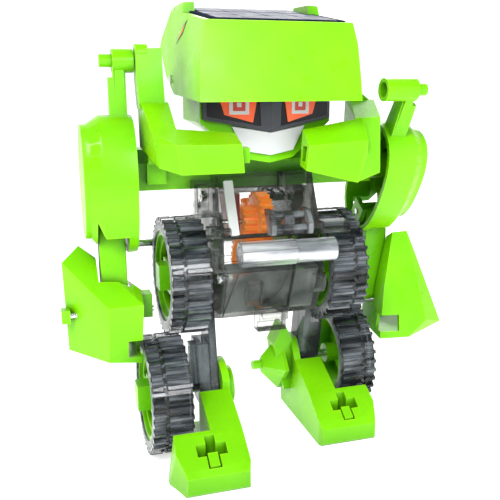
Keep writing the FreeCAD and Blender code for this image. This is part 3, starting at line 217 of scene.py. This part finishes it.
smoke = clear("smoke_plastic", tint=(0.95, 0.955, 0.93), dark=(0.035, 0.04, 0.038),
              light=(0.17, 0.19, 0.18), solid=0.05, edge_solid=0.92)
smoke_strut = clear("smoke_strut", tint=(0.42, 0.45, 0.47), dark=(0.03, 0.033, 0.036),
                    light=(0.15, 0.17, 0.18), solid=0.5, edge_solid=0.95, stretch=(2, 2, 1))
tread = clear("tread_plastic", tint=(0.46, 0.49, 0.53), dark=(0.010, 0.011, 0.013),
              light=(0.25, 0.28, 0.31), solid=0.48, edge_solid=0.85, stretch=(1, 5, 5),
              cloud=48.0)
clear_tube = clear("clear_plastic", tint=(0.86, 0.88, 0.90), dark=(0.20, 0.22, 0.24),
                   light=(0.78, 0.80, 0.82), solid=0.62, edge_solid=0.85, stretch=(1, 7, 7),
                   cloud=30.0, edge_colour=(0.07, 0.078, 0.085), metal=0.35)
clip = clear("clip_plastic", tint=(0.5, 0.52, 0.53), dark=(0.012, 0.013, 0.014),
             light=(0.22, 0.24, 0.25), solid=0.7, edge_solid=0.95, cloud=90.0,
             edge_colour=(0.006, 0.006, 0.006))
panel = plastic("panel_resin", base=(0.010, 0.011, 0.020), dark=(0.006, 0.007, 0.014),
                light=(0.05, 0.06, 0.10), rough=0.5, coat=0.0, spec=0.0, edge=0.1)
busbar = plastic("busbar_silver", base=(0.11, 0.115, 0.13), dark=(0.07, 0.075, 0.09),
                 light=(0.18, 0.19, 0.21), rough=0.5, coat=0.0, spec=0.0, cloud=120.0, edge=0.1)
tread_face = plastic("tread_face", base=(0.085, 0.092, 0.098), dark=(0.035, 0.038, 0.042),
                     light=(0.24, 0.26, 0.28), coat=0.2, spec=0.3, cloud=160.0, edge=0.4)
cell_blue = plastic("solar_cell", base=(0.006, 0.012, 0.045), dark=(0.004, 0.006, 0.022),
                    light=(0.03, 0.05, 0.13), rough=0.4, coat=0.0, spec=0.03, cloud=120.0,
                    edge=0.2, stretch=(1, 3, 1))


# ------------------------------------------------------------------ CAD pieces
def bevel_and_shade(item, width, segments, angle):
    if width:
        bevel = item.modifiers.new("edges", "BEVEL")
        bevel.width = width * MM
        bevel.segments = segments
        bevel.limit_method = "ANGLE"
        bevel.angle_limit = math.radians(angle)
    item.modifiers.new("shade", "WEIGHTED_NORMAL").weight = 100


def smooth(mesh):
    mesh.polygons.foreach_set("use_smooth", [True] * len(mesh.polygons))


def dress(item, material, width, segments, angle):
    """Give a CAD piece its material and replace its own shading by rounded edges."""
    mesh = item.data
    mesh.materials.clear()
    mesh.materials.append(material)
    bpy.context.view_layer.objects.active = item
    if mesh.has_custom_normals:
        with bpy.context.temp_override(active_object=item, object=item,
                                       selected_objects=[item], mesh=mesh):
            bpy.ops.mesh.customdata_custom_splitnormals_clear()
    smooth(mesh)
    if "sharp_edge" in mesh.attributes:
        mesh.attributes.remove(mesh.attributes["sharp_edge"])
    item.modifiers.new("weld", "WELD").merge_threshold = 2e-6
    bevel_and_shade(item, width, segments, angle)


# material, bevel width in mm, bevel segments, bevel angle in degrees, pieces.
# A * stands for left and for right.
FINISHES = (
    (green, 0.9, 3, 25, "visor jaw_claw_*"),
    (green, 0.5, 2, 32, "head_block shoulder_beam neck_post forearm_*"),
    (green, 0.5, 2, 40, "arm_pod_*"),
    (green, 0.6, 2, 20, "hand_*"),
    (green, 0.7, 3, 25, "foot_*"),
    (green, 0.25, 2, 32, "upper_hub_* lower_hub_* clutch_disc"),
    (smoke, 0.35, 2, 32, "gearbox_shell_* front_latch lower_hook"),
    (smoke_strut, 0.4, 2, 32, "leg_strut_*"),
    (clip, 0.2, 2, 32, "front_clip"),
    (tread, 0.14, 2, 32, "lower_tread_* upper_tread_*"),
    (clear_tube, 0.35, 2, 32, "front_tube"),
    (orange, 0.12, 2, 32, "drive_gear counter_gear motor_pinion"),
    (eye_orange, 0.12, 2, 32, "eye_*"),
    (red, 0.3, 2, 32, "motor_bracket"),
    (white, 0.25, 2, 32, "white_link mouth_plate panel_backing"),
    (black, 0.2, 2, 32, "eye_mask"),
    (black, 0.0, 2, 32, "motor_leads"),
    (steel, 0.2, 2, 32, "ankle_axle_* drive_axle elbow_pin_* gear_shaft motor_case motor_shaft "
                        "rear_shaft visor_pin wrist_pin_* case_screws shoulder_pin_*"),
    (panel, 0.2, 2, 32, "solar_panel"),
)
for material, width, segments, angle, names in FINISHES:
    for name in names.split():
        for side in ("left", "right") if "*" in name else ("",):
            dress(nodes[name.replace("*", side)], material, width, segments, angle)


# ------------------------------------------------------------------ mesh building
# Each place function turns (u, v, height) into a point in piece coordinates.
def finish_mesh(name, bm, material, body, bevel=0.0):
    bmesh.ops.remove_doubles(bm, verts=bm.verts, dist=1e-7)
    bmesh.ops.recalc_face_normals(bm, faces=bm.faces)
    mesh = bpy.data.meshes.new(name)
    bm.to_mesh(mesh)
    bm.free()
    item = bpy.data.objects.new(name, mesh)
    bpy.context.scene.collection.objects.link(item)
    mesh.materials.append(material)
    smooth(mesh)
    bevel_and_shade(item, bevel, segments=2, angle=30)
    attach(item, body)


def add_loop(bm, loop, place, height):
    return [bm.verts.new((Vector(place(u, v, height)) + OFFSET) * MM) for u, v in loop]


def bridge(bm, first, second):
    """Join two closed rows of vertices with quads."""
    count = len(first)
    for i in range(count):
        j = (i + 1) % count
        bm.faces.new((first[i], first[j], second[j], second[i]))


def prism(bm, loop, place, low, high):
    bottom = add_loop(bm, loop, place, low)
    top = add_loop(bm, loop, place, high)
    bm.faces.new(bottom[::-1])
    bm.faces.new(top)
    bridge(bm, bottom, top)


def ring(bm, outer, inner, place, low, high):
    rows = [add_loop(bm, loop, place, height) for height in (low, high) for loop in (outer, inner)]
    outer_low, inner_low, outer_high, inner_high = rows
    count = len(outer)
    for i in range(count):
        j = (i + 1) % count
        bm.faces.new((outer_low[i], outer_low[j], inner_low[j], inner_low[i]))
        bm.faces.new((outer_high[j], outer_high[i], inner_high[i], inner_high[j]))
        bm.faces.new((outer_low[j], outer_low[i], outer_high[i], outer_high[j]))
        bm.faces.new((inner_low[i], inner_low[j], inner_high[j], inner_high[i]))


def tube(bm, path, radius, sides=8):
    path = [Vector(point) for point in path]
    rows = []
    for i, point in enumerate(path):
        along = (path[min(i + 1, len(path) - 1)] - path[max(i - 1, 0)]).normalized()
        guide = Vector((1, 0, 0)) if abs(along.x) < 0.8 else Vector((0, 0, 1))
        across = along.cross(guide).normalized()
        normal = along.cross(across)
        row = []
        for j in range(sides):
            turn = 2 * math.pi * j / sides
            spoke = radius * (math.cos(turn) * across + math.sin(turn) * normal)
            row.append(bm.verts.new((OFFSET + point + spoke) * MM))
        rows.append(row)
    for first, second in zip(rows, rows[1:]):
        bridge(bm, first, second)
    bm.faces.new(rows[0][::-1])
    bm.faces.new(rows[-1])


def rect(u, v, half_u, half_v):
    return [(u - half_u, v - half_v), (u + half_u, v - half_v),
            (u + half_u, v + half_v), (u - half_u, v + half_v)]


def cut_rect(u, v, half_u, half_v, cut):
    """A rectangle with its corners cut off at 45 degrees."""
    left, right, low, high = u - half_u, u + half_u, v - half_v, v + half_v
    return [(left + cut, low), (right - cut, low), (right, low + cut), (right, high - cut),
            (right - cut, high), (left + cut, high), (left, high - cut), (left, low + cut)]


def polar_loop(radii):
    """A closed loop with one point per radius, evenly spaced in angle."""
    steps = [2 * math.pi * i / len(radii) for i in range(len(radii))]
    return [(radius * math.cos(a), radius * math.sin(a)) for radius, a in zip(radii, steps)]


# ------------------------------------------------------------------ solar cells and bus bars
PANEL_SLOPE = 0.155                 # rise towards the back
PANEL_FRONT_Y = -22.0
PANEL_FRONT_Z = 141.0 + 0.55        # height of the panel's face at PANEL_FRONT_Y
COLUMNS = 4
BUS_HALF_WIDTH = 0.13
BUS_END_GAP = 0.2                   # from a bus bar's end to the cell's
FINGER_HALF_WIDTH = 0.035
FINGER_END_GAP = 0.4
# The front bank has two rows of cells and the back bank one; bus is a bus bar's distance
# from the middle of its column, and the fingers are the thin cross lines.
FRONT_BANK = SimpleNamespace(pitch=9.8, half_x=4.7, half_y=6.3, cut=0.9, rows=(-15.0, -1.8),
                             bus=1.8, finger_y=-20.6, finger_pitch=3.0, fingers=9)
BACK_BANK = SimpleNamespace(pitch=9.2, half_x=4.4, half_y=6.9, cut=0.8, rows=(12.9,),
                            bus=1.7, finger_y=7.2, finger_pitch=2.9, fingers=5)


def on_panel(x, y, height):
    length = math.hypot(1, PANEL_SLOPE)
    z = PANEL_FRONT_Z + (y - PANEL_FRONT_Y) * PANEL_SLOPE
    return (x, y - height * PANEL_SLOPE / length, z + height / length)


def column_x(bank, column):
    return bank.pitch * (column - (COLUMNS - 1) / 2)


def solar_cells():
    bm = bmesh.new()
    for bank in (FRONT_BANK, BACK_BANK):
        for column in range(COLUMNS):
            for y in bank.rows:
                cell = cut_rect(column_x(bank, column), y, bank.half_x, bank.half_y, bank.cut)
                prism(bm, cell, on_panel, -0.02, 0.10)
    finish_mesh("solar_cells", bm, cell_blue, "visor_cap", bevel=0.05)


def cell_busbars():
    bm = bmesh.new()
    for column in range(COLUMNS):
        for bank in (FRONT_BANK, BACK_BANK):
            x = column_x(bank, column)
            first, last = bank.rows[0], bank.rows[-1]
            bus_half = (last - first) / 2 + bank.half_y - BUS_END_GAP
            for side in (-1, 1):
                bar = rect(x + side * bank.bus, (first + last) / 2, BUS_HALF_WIDTH, bus_half)
                prism(bm, bar, on_panel, 0.08, 0.115)
            for i in range(bank.fingers):
                finger = rect(x, bank.finger_y + i * bank.finger_pitch,
                              bank.half_x - FINGER_END_GAP, FINGER_HALF_WIDTH)
                prism(bm, finger, on_panel, 0.08, 0.108)
    finish_mesh("cell_busbars", bm, busbar, "visor_cap")


solar_cells()
cell_busbars()

# ------------------------------------------------------------------ face details
EYE_X, EYE_Z = 10.3, 116.3
RIM_OUTER_X = 21.5
RIM_SIDE_WIDTH = 1.1
RIM_HEIGHT = 1.2
RIM_TOP_Z = 122.0


def on_face(lift):
    """Places (x, z, height) on the face, which sweeps back from x = 0, moved forward by lift."""
    return lambda x, z, height: (x, -13.2 + 0.162 * abs(x) - lift - height, z)


on_eye = on_face(1.85)
on_mask = on_face(1.38)


def mask_edge_z(x):
    """Height of the mask's lower edge, which rises outwards."""
    return 107.75 + x * (112.0 - 107.75) / 23.0


def eye_details(sign, side):
    x = sign * EYE_X
    bm = bmesh.new()
    ring(bm, rect(x, EYE_Z, 3.1, 3.0), rect(x, EYE_Z, 2.0, 1.95), on_eye, -0.1, 0.16)
    finish_mesh("eye_square_" + side, bm, white, "head", bevel=0.05)
    bm = bmesh.new()
    prism(bm, rect(x, EYE_Z, 1.95, 1.9), on_eye, -0.1, 0.05)
    finish_mesh("eye_core_" + side, bm, eye_red, "head", bevel=0.04)
    bm = bmesh.new()
    prism(bm, rect(x, EYE_Z, 0.7, 0.7), on_eye, 0.0, 0.18)
    finish_mesh("eye_dot_" + side, bm, white, "head", bevel=0.05)


def mask_rim(sign, side):
    """Grey rim along the lower edge of the mask and up its outer side."""
    inner_x = RIM_OUTER_X - RIM_SIDE_WIDTH
    middle_z, inner_z, outer_z = (mask_edge_z(x) for x in (0, inner_x, RIM_OUTER_X))
    lower = [(0.02, middle_z - 0.02), (RIM_OUTER_X, outer_z - 0.02),
             (RIM_OUTER_X, outer_z + RIM_HEIGHT), (0.02, middle_z + RIM_HEIGHT)]
    upright = [(inner_x, inner_z + 1.1), (RIM_OUTER_X, outer_z + 1.1),
               (RIM_OUTER_X, RIM_TOP_Z), (inner_x, RIM_TOP_Z)]
    bm = bmesh.new()
    for loop in (lower, upright):
        prism(bm, [(sign * x, z) for x, z in loop], on_mask, -0.3, 0.22)
    finish_mesh("mask_rim_" + side, bm, grey, "head", bevel=0.12)


def nose_column():
    half = [(0.01, 108.9), (3.3, 109.6), (3.9, 123.5), (0.01, 123.5)]   # x, z
    bm = bmesh.new()
    for sign, _ in SIDES:
        prism(bm, [(sign * x, z) for x, z in half], on_mask, -0.3, 0.30)
    finish_mesh("nose_column", bm, grey, "head", bevel=0.1)


for sign, side in SIDES:
    eye_details(sign, side)
    mask_rim(sign, side)
nose_column()

# ------------------------------------------------------------------ tread wheels
TREAD_WIDTH = 13.0
TEETH = 36
TOOTH_STEPS = 3                     # loop points on each tooth, and on each gap
TREAD_RADIUS = 18.5


def wheel_details(wheel, sign, side, inner_x, axle_y, axle_z):
    """Windows, beads and end faces of one tread; inner_x is its face nearest the body."""
    body = wheel + "_wheel_" + side

    def across(u, v, x):
        return (sign * x, axle_y + u, axle_z + v)

    # Dark windows in the grooves.
    bm = bmesh.new()
    for i in range(TEETH):
        turn = 2 * math.pi * (i + 0.5) / TEETH
        cos, sin = math.cos(turn), math.sin(turn)

        def outward(x, v, radius):
            return (sign * x, axle_y + radius * cos - v * sin, axle_z + radius * sin + v * cos)

        prism(bm, rect(inner_x + 8.5, 0.0, 0.75, 0.95), outward, TREAD_RADIUS, 19.05)
    finish_mesh(wheel + "_windows_" + side, bm, seam_black, body, bevel=0.06)

    # Thin dark bead around both shoulders.
    bm = bmesh.new()
    for x in (inner_x + 0.25, inner_x + TREAD_WIDTH - 0.25):
        ring(bm, polar_loop([18.9] * 72), polar_loop([18.1] * 72), across, x - 0.22, x + 0.22)
    finish_mesh(wheel + "_beads_" + side, bm, seam_black, body, bevel=0.08)

    # End faces, scalloped between the teeth.
    scallops = polar_loop(([17.6] * TOOTH_STEPS + [TREAD_RADIUS] * TOOTH_STEPS) * TEETH)
    hole = polar_loop([15.9] * len(scallops))
    outer_x = inner_x + TREAD_WIDTH
    bm = bmesh.new()
    ring(bm, scallops, hole, across, outer_x - 0.1, outer_x + 0.06)
    ring(bm, scallops, hole, across, inner_x - 0.06, inner_x + 0.1)
    finish_mesh(wheel + "_faces_" + side, bm, tread_face, body)


for sign, side in SIDES:
    wheel_details("upper", sign, side, inner_x=21.1, axle_y=0.0, axle_z=58.9)
    # The left foot is set back and the right one forward.
    wheel_details("lower", sign, side, inner_x=29.8, axle_y=sign * 8.5, axle_z=20.2)

# ------------------------------------------------------------------ gearbox seams
SEAM_X = 6.8
# y, z along the seam: from the top, down the back, under the gearbox and up its front
SEAM_PATH = [(-2.6, 94.0), (-2.6, 88.2), (17.5, 88.2), (24.2, 76.0), (24.2, 58.0),
             (14.0, 43.9), (-6.0, 43.9), (-13.5, 46.3), (-20.5, 63.0)]
# tube radius, and x, y, z along it
SEAMS = (
    (0.3, [(SEAM_X, y, z) for y, z in SEAM_PATH]),
    (0.26, [(5.3, -20.45, 63.1), (3.4, -18.1, 57.4), (0.3, -15.8, 51.9)]),
    (0.26, [(-12.7, -20.45, 63.0), (-14.6, -17.0, 54.9), (-16.4, -13.7, 46.9)]),
    (0.22, [(SEAM_X, -17.1, 74.4), (SEAM_X, -8.1, 92.3)]),
)
bm = bmesh.new()
for radius, path in SEAMS:
    tube(bm, path, radius)
finish_mesh("gearbox_seams", bm, seam_black, "chassis")

# ------------------------------------------------------------------ diamonds on the visor's cheeks
# name, material, y and z of the corners, lowest and highest point off the visor, slot
DIAMONDS = (
    ("edge", seam_black, [(-3.6, 142.2), (-0.5, 140.9), (4.6, 135.4), (-0.9, 138.0)],
     -0.3, 0.14, "black_plastic"),
    ("core", orange, [(-2.2, 140.9), (-0.9, 140.0), (2.9, 136.8), (-0.7, 138.9)],
     -0.2, 0.22, "orange_plastic"),
)


def on_cheek(sign):
    """Places (y, z, height) on the visor's side, found by a ray from outside it."""
    bpy.context.evaluated_depsgraph_get()   # brings the visor up to date for the rays

    def place(y, z, height):
        start = Vector((sign * 0.08, (y + OFFSET.y) * MM, z * MM))
        hit, point, _, _ = nodes["visor"].ray_cast(start, Vector((-sign, 0, 0)))
        x = point.x / MM - OFFSET.x if hit else sign * 25.0
        return (x + sign * height, y, z)

    return place


for sign, side in SIDES:
    place = on_cheek(sign)
    for name, material, corners, low, high, slot in DIAMONDS:
        bm = bmesh.new()
        prism(bm, corners, place, low, high)
        finish_mesh("cheek_%s_%s" % (name, side), bm, material, "visor_cap")

# ------------------------------------------------------------------ stage, lights and camera
VIEW_TURN = math.radians(17.35)     # the view's turn from +y towards +x
FLOOR_FRONT = -2.2
FLOOR_BACK = 0.7                    # where the floor starts to curve up
SWEEP_RADIUS = 0.9
SWEEP_STEPS = 16
WALL_TOP = 3.0
FLOOR_HALF_WIDTH = 3.0


def stage_object(name, data):
    item = bpy.data.objects.new(name, data)
    bpy.context.scene.collection.objects.link(item)
    return item


def floor():
    """Floor curving up into a back wall, square to the view."""
    profile = [(FLOOR_FRONT, 0.0), (FLOOR_BACK, 0.0)]
    for i in range(1, SWEEP_STEPS + 1):
        turn = math.radians(90.0 * i / SWEEP_STEPS)
        profile.append((FLOOR_BACK + SWEEP_RADIUS * math.sin(turn),
                        SWEEP_RADIUS - SWEEP_RADIUS * math.cos(turn)))
    profile.append((FLOOR_BACK + SWEEP_RADIUS, WALL_TOP))
    away = Vector((math.sin(VIEW_TURN), math.cos(VIEW_TURN), 0))
    across = Vector((away.y, -away.x, 0))
    points = [tuple(away * distance + across * offset + Vector((0, 0, z)))
              for distance, z in profile for offset in (-FLOOR_HALF_WIDTH, FLOOR_HALF_WIDTH)]
    faces = [(2 * i, 2 * i + 1, 2 * i + 3, 2 * i + 2) for i in range(len(profile) - 1)]
    mesh = bpy.data.meshes.new("floor")
    mesh.from_pydata(points, [], faces)
    smooth(mesh)
    item = stage_object("floor", mesh)

    material = bpy.data.materials.new("floor_pale")
    shader = Shader(material)
    clouds = shader.remap(shader.noise(scale=3.0), span=(0.3, 0.7))
    body = shader.node("ShaderNodeBsdfPrincipled", {
        "Base Color": shader.mix(clouds, (0.88, 0.88, 0.88), (0.91, 0.91, 0.91)),
        "Roughness": 0.8,
        "Emission Color": (1, 1, 1),
        "Emission Strength": 0.66,
    })
    shader.output("ShaderNodeOutputMaterial", body.outputs[0])
    mesh.materials.append(material)


def studio_world():
    """Dim light on the robot, with a brighter backdrop for the camera alone."""
    world = bpy.data.worlds.new("studio")
    bpy.context.scene.world = world
    shader = Shader(world)
    ambient = shader.node("ShaderNodeBackground", {"Strength": 0.30, "Color": (1.0, 1.0, 1.0)})
    backdrop = shader.node("ShaderNodeBackground", {"Strength": 1.0})
    camera_ray = shader.node("ShaderNodeLightPath").outputs["Is Camera Ray"]
    blend = shader.node("ShaderNodeMixShader", {
        0: camera_ray, 1: ambient.outputs[0], 2: backdrop.outputs[0]})
    shader.output("ShaderNodeOutputWorld", blend.outputs[0])


def area(name, location, aim, size, power):
    light = bpy.data.lights.new(name, "AREA")
    light.shape = "RECTANGLE"
    light.size, light.size_y = size
    light.energy = power
    item = stage_object(name, light)
    item.location = location
    item.rotation_euler = (Vector(aim) - Vector(location)).to_track_quat("-Z", "Y").to_euler()


floor()
studio_world()
area("key", location=(-0.34, -0.42, 0.50), aim=(0, 0, 0.08), size=(0.26, 0.26), power=4.3)
area("fill", location=(0.50, -0.40, 0.22), aim=(0, 0, 0.07), size=(0.5, 0.4), power=0.75)
area("strip", location=(0.07, -0.52, 0.27), aim=(0, -0.02, 0.12), size=(0.10, 0.22), power=0.9)
area("rim", location=(0.25, 0.55, 0.45), aim=(0, 0, 0.08), size=(0.4, 0.3), power=2.0)

lens = bpy.data.cameras.new("camera")
lens.lens = 51.10
lens.sensor_width = 36.0
lens.clip_start = 0.005
camera = stage_object("camera", lens)
camera.location = (-0.07864, -0.22456, 0.12400)
camera.rotation_euler = (math.radians(90 - 13.5), 0, -VIEW_TURN)    # looks 13.5 degrees down

scene = bpy.context.scene
scene.camera = camera
scene.view_settings.view_transform = "Standard"
scene.cycles.transparent_max_bounces = 32

bpy.context.view_layer.update()
